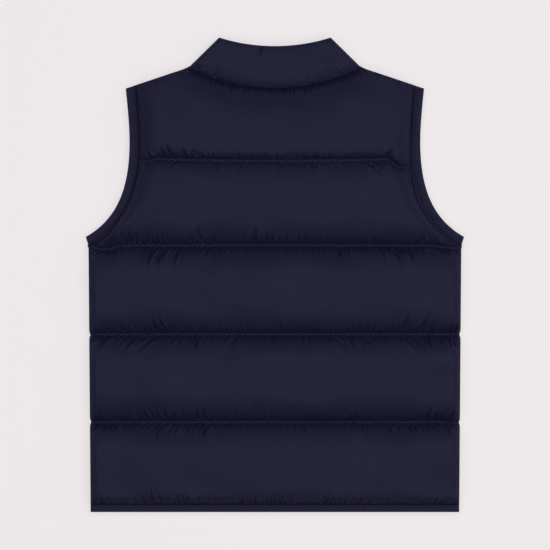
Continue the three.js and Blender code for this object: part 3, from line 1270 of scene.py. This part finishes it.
    def outside(self, lie: Lie) -> Array:
        """Heights of the outside over the plain inside.

        Args:
            lie: The panel's points.

        Returns:
            The heights.
        """
        at_armhole = np.clip((lie.y - self.cut.side_top[1]) / self.armhole_rise, 0, 1)
        below, above, beside = self._past_strips(lie, at_armhole)
        full, room = self._filling(lie, at_armhole, below, above, beside)
        soft = Lumps(self.seed + 1, 34, 95).height(lie.x, lie.y)
        crinkle = Lumps(self.seed + 2, 4.5, 12, 30).height(lie.x, lie.y)
        near = np.exp(-np.minimum(below, above) / self.crinkle_reach)
        uneven = self.softness * soft * room + self.crinkling * crinkle * near * room**0.5
        edge = np.clip(beside / self.side_fade, 0, 1)
        raised = self.loft * full + edge * uneven
        # Beside the collar, the bindings and the hem band the seam lies deeper
        from_edge = np.minimum(beside, np.where(lie.chamber[:, None] == 0, below, np.inf))
        from_edge = np.minimum(from_edge, np.where(lie.at_neck > 0, above, np.inf))
        climb = np.sqrt(np.clip(from_edge / self.edge_climb, 0, 1))
        seam = mixed(self.edge_seam, self.cut.seam_thick, climb)
        moved = self._dents(lie, room * self.loft + raised - self.loft * full)
        return seam + raised - moved * edge

    def seam_path(self, number: int) -> Array:
        """Where the stitches of a quilt line run.

        Args:
            number: The line.

        Returns:
            Points along it.
        """
        cut = self.cut
        line = cut.lines[number]
        half = cut.half_width(np.array([line.y + line.rise]), np.array([number]))
        side = half[0] - self.stitch_gap
        x = np.linspace(max(self.low + 1, -side), min(self.high - 1, side), self.stitch_points)
        y = self._line_y(np.array([number]), x[None, :], half)[0]
        off_seam, lift = self.thread_lift
        high = np.full_like(x, cut.seam_thick + lift)
        if number == len(cut.lines) - 1:
            beside = np.minimum(half[0] - np.abs(x), np.minimum(x - self.low, self.high - x))
            high += self.loft * self.yoke_fill * fullness(beside - cut.tuck, self.armhole_reach)
        return np.column_stack([x, y + off_seam, cut.middle + self.layer.value * high])

    def build(self, finish: Material) -> Body:
        """Makes the panel.

        Args:
            finish: Its material.

        Returns:
            The object.
        """
        lie = self.lie()
        facing = self.layer.value
        inside_z = self.cut.middle + facing * CORE
        z = inside_z + facing * self.outside(lie)
        if self.layer is Layer.FRONT:
            # The fronts lie on the ground, which flattens what would be under it
            z = (z + np.sqrt(z**2 + self.floor_softness**2)) / 2
        outer = np.stack([lie.x, lie.y, z], axis=-1)
        inner = np.stack([lie.x, lie.y, np.full_like(z, inside_z)], axis=-1)
        skin = walled(outer, inner, self.inside_step)
        made = skin.piece(self.name + "_quilted", finish, "shell_cloth")
        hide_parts(self.name)
        return made


# Strips


@dataclass(frozen=True)
class Run:
    """A strip's two edges along one layer, up to its fold, and how full its padding is there."""

    seam: Array
    rim: Array
    along: Array
    full: Array

    @staticmethod
    def over(seam: Array, rim: Array, full: Array | None = None) -> Run:
        """A run from the points of its inner and outer edge, with full padding by default."""
        along = np.linspace(0, 1, len(seam))
        return Run(seam, rim, along, np.ones(len(seam)) if full is None else full)


@dataclass(frozen=True)
class Station:
    """Places across a strip, at one place of its seam on one layer."""

    across: Array
    x: float
    y: float
    layer: Layer

    def lumps(
        self, seed: int, sizes: tuple[float, ...], x: Array | float, y: Array | float
    ) -> Array:
        """Soft unevenness over x and y, either of which may be one value for the whole station."""
        even = np.zeros_like(self.across)
        return Lumps(seed, *sizes).height(even + x, even + y)

    def bulge(self) -> Array:
        """A rise from 0 at both edges to 1 between them."""
        return np.sin(math.pi * np.clip(self.across, 0, 1))


Section = tuple[tuple[float, float], ...]


@dataclass
class FoldedStrip:
    """A strip that lies in two layers, turned over a fold at each end.

    It is drawn on the right. Its section holds places across it, as shares of its width, and how
    thick it is there, in millimetres.
    """

    cut: Cut
    hand: Hand = Hand.RIGHT
    section: Section = ()
    points_across: int = 20
    fold_depth: float = 1.0
    stitch_place: float = 0.0
    fold_steps: int = 16
    least_thick: float = 0.3
    fine_steps: int = 200
    turned_under: int = 60
    last_stitch: float = 0.97
    thread_lift: float = 0.12

    def ripple(self, at: Station) -> Array:
        """The thickness that unevenness adds at a station."""
        raise NotImplementedError

    def both(self) -> list[FoldedStrip]:
        """The strip's left and its right half."""
        return [replace(self, hand=hand) for hand in Hand]

    def girth(self, width: float) -> float:
        """How wide the strip's outside lies when it is opened out flat.

        Args:
            width: The strip's width as it is sewn.

        Returns:
            The width of the cut that shows.
        """
        across, high = self._outside(self.fine_steps)
        over = float(np.hypot(np.diff(across) * width, np.diff(high)).sum())
        return float(high[0] + over + high[-1])

    def _outside(self, count: int) -> tuple[Array, Array]:
        """Points of the section's outside, as shares of the width and heights.

        Args:
            count: How many.

        Returns:
            The shares and the heights.
        """
        run = np.linspace(0, len(self.section) - 1, count)
        steps = np.arange(len(self.section))
        across, high = (smooth_through(run, steps, column) for column in zip(*self.section))
        return across, high

    def _lie(
        self, run: Run, i: int, layer: Layer, across: Array, high: Array
    ) -> tuple[Array, Array]:
        """Where one station of the strip lies, and how thick it is.

        Args:
            run: The run it is in.
            i: Its number.
            layer: The layer it is on.
            across: Places across the strip.
            high: The section's heights there.

        Returns:
            Flat places and thicknesses.
        """
        flat = mixed(run.seam[i], run.rim[i], across[:, None])
        thick = mixed(np.minimum(self.cut.seam_thick, high), high, run.full[i])
        x, y = run.seam[i].tolist()
        at = Station(across, self.hand.value * x, y, layer)
        return flat, np.maximum(thick + self.ripple(at), self.least_thick)

    def rings(self, layer: Layer, first: Run, second: Run, ways: tuple[Array, Array]) -> Array:
        """Rings out to a fold on one layer and back from it on the other.

        Args:
            layer: The layer of the first run.
            first: The run to the fold.
            second: The run that comes back, also given towards the fold.
            ways: Directions of the seam and the rim at the fold.

        Returns:
            Rings, points and coordinates.
        """
        across, high = self._outside(self.points_across)
        way = mixed(ways[0], ways[1], across[:, None])
        way = way / np.hypot(*way.T)[:, None]
        turned = [(first, i, 0.0) for i in range(len(first.along))]
        angles = np.linspace(0, math.pi, self.fold_steps)[1:-1]
        turned += [(first, -1, angle) for angle in angles]
        turned += [(second, i, math.pi) for i in reversed(range(len(second.along)))]
        other = Layer(-layer.value)
        rings = []
        for run, i, angle in turned:
            here, there = (self._lie(run, i, side, across, high) for side in (layer, other))
            flat, thick = (mixed(a, b, angle / math.pi) for a, b in zip(here, there))
            flat = flat - way * (self.fold_depth * thick * run.along[i] ** 3)[:, None]
            normal = np.zeros((len(across), 3))
            normal[:, :2] = way * (self.fold_depth * math.sin(angle))
            normal[:, 2] = layer.value * math.cos(angle)
            base = np.column_stack([flat, np.full(len(flat), self.cut.middle)])
            base += normal * CORE
            outside = base + normal * thick[:, None]
            outside[:, 2] = np.maximum(outside[:, 2], 0)
            rings.append(np.vstack([outside, base[-1:], base[:1]]))
        return np.array(rings)

    def stitch_path(self, layer: Layer, run: Run) -> Array:
        """Where a row of stitches runs along the strip.

        Args:
            layer: The layer it is on.
            run: The run it follows.

        Returns:
            Points along it, short of the fold.
        """
        across, high = (row[self.turned_under :] for row in self._outside(self.fine_steps))
        at = np.array([self.stitch_place])
        height = np.interp(at, across, high)
        points = []
        for i in np.flatnonzero(run.along < self.last_stitch):
            flat, thick = self._lie(run, int(i), layer, at, height)
            z = self.cut.middle + layer.value * (float(thick[0]) + self.thread_lift)
            points.append((self.hand.value * flat[0, 0], flat[0, 1], z))
        return np.array(points)


def joined(left: Array, right: Array) -> Array:
    """Joins both halves of a strip, drawn on the right from the end to the centre back."""
    middle = (left[-1:] * (-1, 1, 1) + right[-1:]) / 2 * (0, 1, 1)
    return np.vstack([left[:-1] * (-1, 1, 1), middle, right[:-1][::-1]])


@dataclass
class Collar(FoldedStrip):
    """The padded stand collar: front halves below, the back above, folded at the sides."""

    stations: int = 110
    points_across: int = 48
    section: Section = (
        (0.015, 0.4),
        (-0.015, 1.8),
        (-0.028, 3.4),
        (-0.026, 5.0),
        (-0.008, 6.4),
        (0.03, 7.8),
        (0.09, 9.2),
        (0.18, 10.4),
        (0.32, 11.1),
        (0.50, 11.4),
        (0.70, 11.4),
        (0.85, 11.2),
        (0.935, 10.7),
        (0.978, 9.5),
        (0.996, 7.6),
        (1.0, 5.2),
    )
    fold_depth: float = 0.4
    height: float = 43.0
    seam_puckers: float = 0.13
    top_puckers: float = 0.12
    notch_x: float = -13.9
    notch_width: float = 1.1
    notch_depth: float = 2.2
    back_drop: float = 21.0
    front_drop: float = 66.0
    front_reach: float = 15.0

    def ripple(self, at: Station) -> Array:
        """Unevenness of the collar's thickness.

        Args:
            at: A station of the collar.

        Returns:
            The added thickness.
        """
        across, y = at.across, at.y + self.height * at.across
        soft = at.lumps(31, (18, 60), at.x, y)
        fine = at.lumps(32, (4, 11, 20), at.x, 0.4 * y)
        near_seam = np.exp(-np.maximum(across, 0) / self.seam_puckers)
        near_seam = near_seam * np.clip(across / 0.04, 0, 1)
        near_top = np.exp(-np.maximum(0.97 - across, 0) / self.top_puckers)
        # The collar's edge is shorter than its seam, so the notch is met earlier along the seam
        neck_x = self.cut.neck_corner[0]
        off = abs(at.x * self.cut.collar_half / neck_x - self.notch_x) / self.notch_width
        notch = self.notch_depth * fold(off, 2, 0.4, 2.0)
        at_notch = np.clip((across - 0.72) / 0.2, 0, 1) * (at.layer is Layer.BACK)
        gathered = 0.5 + 1.1 * abs(at.x) / neck_x
        puckers = fine * (gathered * near_seam + 0.2 * near_top)
        return 0.4 * soft * at.bulge() + puckers - notch * at_notch

    def build(self, finish: Material) -> Body:
        """Makes the collar.

        Args:
            finish: Its material.

        Returns:
            The object.
        """
        cut = self.cut
        t = np.linspace(0, 1, self.stations)
        neck_x, top_y = cut.neck_corner[0], cut.length / 2
        seam_x, front_x = (mixed(cut.front_edge, end, t) for end in (neck_x, cut.collar_half))
        front = Run.over(
            np.column_stack([seam_x, cut.neck_line(seam_x, self.front_drop)]),
            np.column_stack([front_x, mixed(cut.collar_front_top, top_y, t**2)]),
            fullness(seam_x - cut.front_edge, self.front_reach),
        )
        back = Run.over(
            np.column_stack([neck_x * t, cut.neck_line(neck_x * t, self.back_drop)]),
            np.column_stack([cut.collar_half * t, top_y - cut.collar_dip * (1 - t**2)]),
        )
        ends = ((neck_x, self.back_drop), (cut.collar_half, cut.collar_dip))
        ways = tuple(np.array((half, 2 * drop)) for half, drop in ends)
        halves = (half.rings(Layer.FRONT, front, back, ways) for half in self.both())
        skin = lofted(joined(*halves), closed=False)
        made = skin.piece("collar_padded", finish, "shell_cloth")
        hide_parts("collar")
        return made


@dataclass
class Binding(FoldedStrip):
    """The bias binding round one armhole, folded at the shoulder and the underarm."""

    section: Section = (
        (0.09, 0.4),
        (0.07, 1.6),
        (0.10, 2.7),
        (0.18, 3.2),
        (0.27, 2.4),
        (0.36, 3.1),
        (0.58, 3.5),
        (0.80, 3.4),
        (0.94, 2.7),
        (1.0, 1.2),
    )
    stitch_place: float = 0.27
    slant: float = 3.5

    def ripple(self, at: Station) -> Array:
        """Drag lines of the binding.

        Args:
            at: A station of the binding.

        Returns:
            The added thickness.
        """
        travelled = at.y - 0.8 * abs(at.x)
        seed = 41 + self.hand.value + 10 * at.layer.value
        drag = at.lumps(seed, (2.6, 7, 18), travelled + self.slant * at.across, 1.0)
        twist = at.lumps(seed + 5, (22, 60), travelled, 6 * at.across)
        return (0.5 * drag + 0.35 * twist) * at.bulge()

    def build(self, finish: Material) -> Body:
        """Makes the binding.

        Args:
            finish: Its material.

        Returns:
            The object.
        """
        cut = self.cut
        halves = []
        for layer, run in zip(Layer, self.runs()):
            ways = tuple(edge[-1] - edge[-4] for edge in (run.seam, run.rim))
            halves.append(self.rings(layer, run, run, ways)[:-1])
        rings = np.vstack(halves) * (self.hand.value, 1, 1)
        name = "armhole_binding_" + self.hand.name.lower()
        made = lofted(rings, closed=True).piece(name + "_cloth", finish, "binding_cloth")
        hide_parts(name)
        steps = np.hypot(*np.diff((cut.seam + cut.rim) / 2, axis=0).T)
        wide = self.girth(cut.binding_width)
        return made

    def runs(self) -> tuple[Run, Run]:
        """The runs down to the underarm and up to the shoulder, drawn on the right."""
        cut = self.cut
        waist = int(np.argmin(np.abs(cut.seam[:, 1] - cut.lines[-1].y)))
        down = Run.over(cut.seam[: waist + 1][::-1], cut.rim[: waist + 1][::-1])
        return down, Run.over(cut.seam[waist:], cut.rim[waist:])

    def stitch_paths(self, layer: Layer) -> list[Array]:
        """Where its stitches run on one layer."""
        return [self.stitch_path(layer, run) for run in self.runs()]


@dataclass
class HemBand(FoldedStrip):
    """The band along the hem, over the back and both fronts."""

    stations: int = 200
    section: Section = (
        (0.03, 0.4),
        (0.01, 1.8),
        (0.04, 3.0),
        (0.12, 3.5),
        (0.24, 2.7),
        (0.36, 3.1),
        (0.64, 3.4),
        (0.84, 3.1),
        (0.95, 2.4),
        (1.0, 1.1),
    )
    stitch_place: float = 0.2
    slant: float = 13.0

    def ripple(self, at: Station) -> Array:
        """Faint slanting waves of the band.

        Args:
            at: A station of the band.

        Returns:
            The added thickness.
        """
        slanted = at.x + self.slant * at.across * at.layer.value
        wave = at.lumps(51, (14, 30), slanted, at.y) + 0.5 * at.lumps(52, (4, 9), slanted, at.y)
        return 0.42 * wave * np.sin(math.pi * np.clip(at.across * 1.1 - 0.1, 0, 1))

    def build(self, finish: Material) -> Body:
        """Makes the band.

        Args:
            finish: Its material.

        Returns:
            The object.
        """
        cut = self.cut
        ways = (np.array((1.0, 0.0)),) * 2
        halves = (half.rings(Layer.FRONT, *self.runs(), ways) for half in self.both())
        skin = lofted(joined(*halves), closed=False)
        made = skin.piece("hem_band_cloth", finish, "binding_cloth")
        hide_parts("hem_band")
        wide = self.girth(cut.hem_width)
        return made

    def runs(self) -> tuple[Run, Run]:
        """The runs along a front and along half the back, drawn on the right."""
        cut = self.cut
        front, back = (
            np.linspace(start, cut.half_hem, self.stations) for start in (cut.front_edge, 0.0)
        )
        return tuple(
            Run.over(
                np.column_stack([x, np.full_like(x, cut.hem_y + cut.hem_width)]),
                np.column_stack([x, np.full_like(x, cut.hem_y)]),
            )
            for x in (front, back)
        )

    def stitch_paths(self, layer: Layer) -> list[Array]:
        """Where its stitches run on one layer."""
        run = self.runs()[layer is Layer.BACK]
        return [half.stitch_path(layer, run) for half in self.both()]


# Small parts


@dataclass
class Stitches:
    """A row of machine stitches along a line on the cloth.

    The shape is that of one stitch: places along it, as shares of its length from its middle, and
    its thickness there, as a share of the radius.
    """

    name: str
    pitch: float = 3.1
    length: float = 2.5
    radius: float = 0.24
    facets: int = 6
    shape: Section = ((-0.5, 0.3), (-0.36, 0.85), (0.0, 1.0), (0.36, 0.85), (0.5, 0.3))

    def build(self, paths: Sequence[Array], finish: Material) -> Body:
        """Makes every stitch along some paths.

        Args:
            paths: Points in order along each row.
            finish: The thread's material.

        Returns:
            The object.
        """
        skin = Skin()
        for path in paths:
            run = np.concatenate([[0], np.cumsum(np.linalg.norm(np.diff(path, axis=0), axis=1))])
            for middle in np.arange(self.pitch, run[-1] - self.pitch / 2, self.pitch):
                ends = [self._at(path, run, middle + s * self.length / 2) for s in (-1, 1)]
                skin.take(lofted(self._stitch(*ends), closed=False))
        return skin.piece(self.name, finish, "shell_cloth")

    @staticmethod
    def _at(path: Array, run: Array, distance: float) -> Array:
        """The point at a distance along a path."""
        return np.array([np.interp(distance, run, path[:, i]) for i in range(3)])

    def _stitch(self, start: Array, end: Array) -> Array:
        """The rings of one stitch.

        Args:
            start: Where it goes in.
            end: Where it comes out.

        Returns:
            Rings, points and coordinates.
        """
        way = (end - start) / np.linalg.norm(end - start)
        side = np.cross(way, (0, 0, 1))
        up = np.cross(side, way)
        turn = np.arange(self.facets) * 2 * math.pi / self.facets
        circle = np.cos(turn)[:, None] * side + np.sin(turn)[:, None] * up
        rings = [mixed(start, end, s + 0.5) + circle * self.radius * r for s, r in self.shape]
        return np.array(rings)


@dataclass
class Zip:
    """The closed zip between the fronts: tape and moulded teeth."""

    cut: Cut
    tape_thick: float = 1.0
    tooth_pitch: float = 2.4
    tooth: tuple[float, float, float] = (3.1, 1.7, 2.6)
    tooth_taper: Section = ((0.0, 0.72), (0.45, 1.0), (1.0, 0.86))
    overlap: float = 0.5
    end_gaps: tuple[float, float] = (4.0, 3.0)

    @property
    def top(self) -> float:
        """Height of the tape's upper side."""
        return self.cut.middle - 0.15

    def tape(self, finish: Material) -> Body:
        """Makes the tape.

        Args:
            finish: Its material.

        Returns:
            The object.
        """
        cut = self.cut
        half = cut.zip_half
        low = self.top - self.tape_thick
        beads = [(half, self.top), (half, low), (2.3, low), (1.9, low - 0.45), (1.2, low - 0.45)]
        section = beads + [(-x, z) for x, z in reversed(beads)]
        rings = [
            [(x, y, z) for x, z in section]
            for y in np.linspace(cut.hem_y, cut.collar_front_top, 60)
        ]
        made = lofted(np.array(rings), closed=False).piece("zip_tape", finish, "zip_plastic")
        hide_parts("zip")
        return made

    def teeth(self, finish: Material) -> Body:
        """Makes the teeth, closed into each other.

        Args:
            finish: Their material.

        Returns:
            The object.
        """
        cut = self.cut
        skin = Skin()
        wide, long, thick = self.tooth
        top = self.top - self.tape_thick + 0.2
        y = cut.hem_y + self.end_gaps[0]
        side = 1
        while y < cut.collar_front_top - self.end_gaps[1]:
            inner = -side * self.overlap
            outer = inner + side * wide
            rings = []
            for share, slim in self.tooth_taper:
                half, low = long / 2 * slim, top - thick * (0.85 + 0.15 * slim)
                corners = ((-half, top), (half, top), (half * 0.7, low), (-half * 0.7, low))
                rings.append([(mixed(inner, outer, share), y + off, z) for off, z in corners])
            skin.take(lofted(np.array(rings), closed=False))
            side = -side
            y += self.tooth_pitch / 2
        made = skin.piece("zip_teeth", finish, "zip_plastic")
        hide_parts("zip")
        return made


# The picture


@dataclass(frozen=True)
class Lamp:
    """One soft box over the table."""

    name: str
    place: tuple[float, float, float]
    size: tuple[float, float]
    power: float

    def build(self) -> None:
        """Hangs the lamp, turned to the middle of the vest."""
        data = bpy.data.lights.new(self.name, "AREA")
        data.shape = "RECTANGLE"
        data.size, data.size_y = self.size
        data.energy = self.power
        made = bpy.data.objects.new(self.name, data)
        bpy.context.scene.collection.objects.link(made)
        made.location = self.place
        x, y, z = self.place
        made.rotation_euler = (math.atan2(math.hypot(x, y), z), 0, math.atan2(x, -y))


@dataclass
class Studio:
    """Pale ground, soft light and the camera straight above."""

    photo_pixels: int = 550
    mm_per_pixel: float = 1.04
    middle_pixel: tuple[float, float] = (274.9, 274.85)
    camera_height: float = 4.0
    outline_height: float = 0.013
    ground_half: float = 3.0
    ground_gap: float = 0.0002
    lamps: tuple[Lamp, ...] = (
        Lamp("lamp_right", (1.6, 0.0, 1.1), (1.0, 1.0), 0.8),
        Lamp("lamp_above", (0.15, 0.0, 2.4), (2.0, 2.0), 31.0),
    )
    sky: float = 0.08
    glow_below: float = 2.2
    glow_to_right: float = 0.2
    glow_to_top: float = 0.4

    def build(self) -> None:
        """Lays the ground, hangs the lamps and sets the camera."""
        scene = bpy.context.scene
        scene.view_settings.view_transform = "Standard"
        half = self.ground_half
        mesh = bpy.data.meshes.new("ground")
        corners = [(-half, -half), (half, -half), (half, half), (-half, half)]
        low = -self.ground_gap
        mesh.from_pydata([(x, y, low) for x, y in corners], [], [(0, 1, 2, 3)])
        mesh.materials.append(PaleGround().material())
        ground = bpy.data.objects.new("ground", mesh)
        scene.collection.objects.link(ground)
        # The room's light from below stands for the ground's, which would be too strong
        ground.visible_diffuse = False
        ground.visible_glossy = False
        for lamp in self.lamps:
            lamp.build()
        self._room()
        self._camera()

    def _room(self) -> None:
        """Gives the room its soft light: dim walls above, and the table's own glow below."""
        world = bpy.data.worlds.new("studio")
        bpy.context.scene.world = world
        # The low light only softens shadows, and leaves no shine on steep cloth
        world.cycles_visibility.glossy = False
        graph = Graph(world)
        way = graph.node("ShaderNodeTexCoord", output="Generated")
        across, up, rise = (
            graph.node("ShaderNodeSeparateXYZ", {}, {"Vector": way}, output=axis) for axis in "XYZ"
        )
        settings = {"stops": ((0.43, self.glow_below), (0.5, self.sky))}
        light = graph.node("ShaderNodeValToRGB", settings, {"Fac": rise * 0.5 + 0.5})
        strength = across * self.glow_to_right + up * self.glow_to_top + 1.0
        air = graph.node("ShaderNodeBackground", {}, {"Color": light, "Strength": strength})
        end = graph.tree.nodes.new("ShaderNodeOutputWorld")
        graph.tree.links.new(air.socket, end.inputs["Surface"])

    def _camera(self) -> None:
        """Sets the camera straight above, up towards the collar, as the photograph is framed."""
        data = bpy.data.cameras.new("camera")
        seen = self.photo_pixels * self.mm_per_pixel * MM
        data.lens = data.sensor_width * (self.camera_height - self.outline_height) / seen
        made = bpy.data.objects.new("camera", data)
        bpy.context.scene.collection.objects.link(made)
        off_x, off_y = (self.photo_pixels / 2 - at for at in self.middle_pixel)
        scale = self.mm_per_pixel * MM
        made.location = (off_x * scale, -off_y * scale, self.camera_height)
        bpy.context.scene.camera = made


@dataclass
class Vest:
    """The whole vest, piece by piece."""

    cut: Cut = field(default_factory=Cut)

    def panels(self, cloth: Material) -> list[Panel]:
        """Makes the back and both fronts.

        Args:
            cloth: Their material.

        Returns:
            The panels.
        """
        edge = self.cut.front_edge
        # name, layer, left end, right end, columns, drop of the neckline, loft, seed
        table = (
            ("back", Layer.BACK, -FAR, FAR, 721, 21.0, 18.0, 7),
            ("front_left", Layer.FRONT, -FAR, -edge, 257, 66.0, 15.0, 17),
            ("front_right", Layer.FRONT, edge, FAR, 257, 66.0, 15.0, 27),
        )
        seen = {"back": {"bends": BACK_BENDS, "creases": BACK_CREASES, "yoke_fill": 0.45}}
        panels = [Panel(self.cut, *row, **seen.get(row[0], {})) for row in table]
        for panel in panels:
            panel.build(cloth)
        return panels

    def build(self) -> None:
        """Makes every piece."""
        cloth, binding = NylonShell().material(), BiasBinding().material()
        thread = SewingThread().material()
        panels = self.panels(cloth)
        Collar(self.cut).build(cloth)
        edgings = [Binding(self.cut, hand) for hand in Hand] + [HemBand(self.cut)]
        for edging in edgings:
            edging.build(binding)
        for layer in Layer:
            side = layer.name.lower()
            seams = [
                panel.seam_path(number)
                for panel in panels
                if panel.layer is layer
                for number in range(1, len(self.cut.lines))
            ]
            edges = [path for edging in edgings for path in edging.stitch_paths(layer)]
            Stitches("quilt_stitches_" + side).build(seams, thread)
            Stitches("edge_stitches_" + side, radius=0.3).build(edges, thread)
        zip_ = Zip(self.cut)
        zip_.tape(ZipTape().material())
        zip_.teeth(MouldedTeeth().material())
        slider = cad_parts["zip_slider"]
        slider.data.materials.clear()
        slider.data.materials.append(SliderLacquer().material())


def main() -> None:
    """Makes the picture's setting and the vest."""
    logging.basicConfig(level=logging.INFO, format="%(name)s: %(message)s")
    Studio().build()
    Vest().build()


if __name__ == "__main__":
    main()
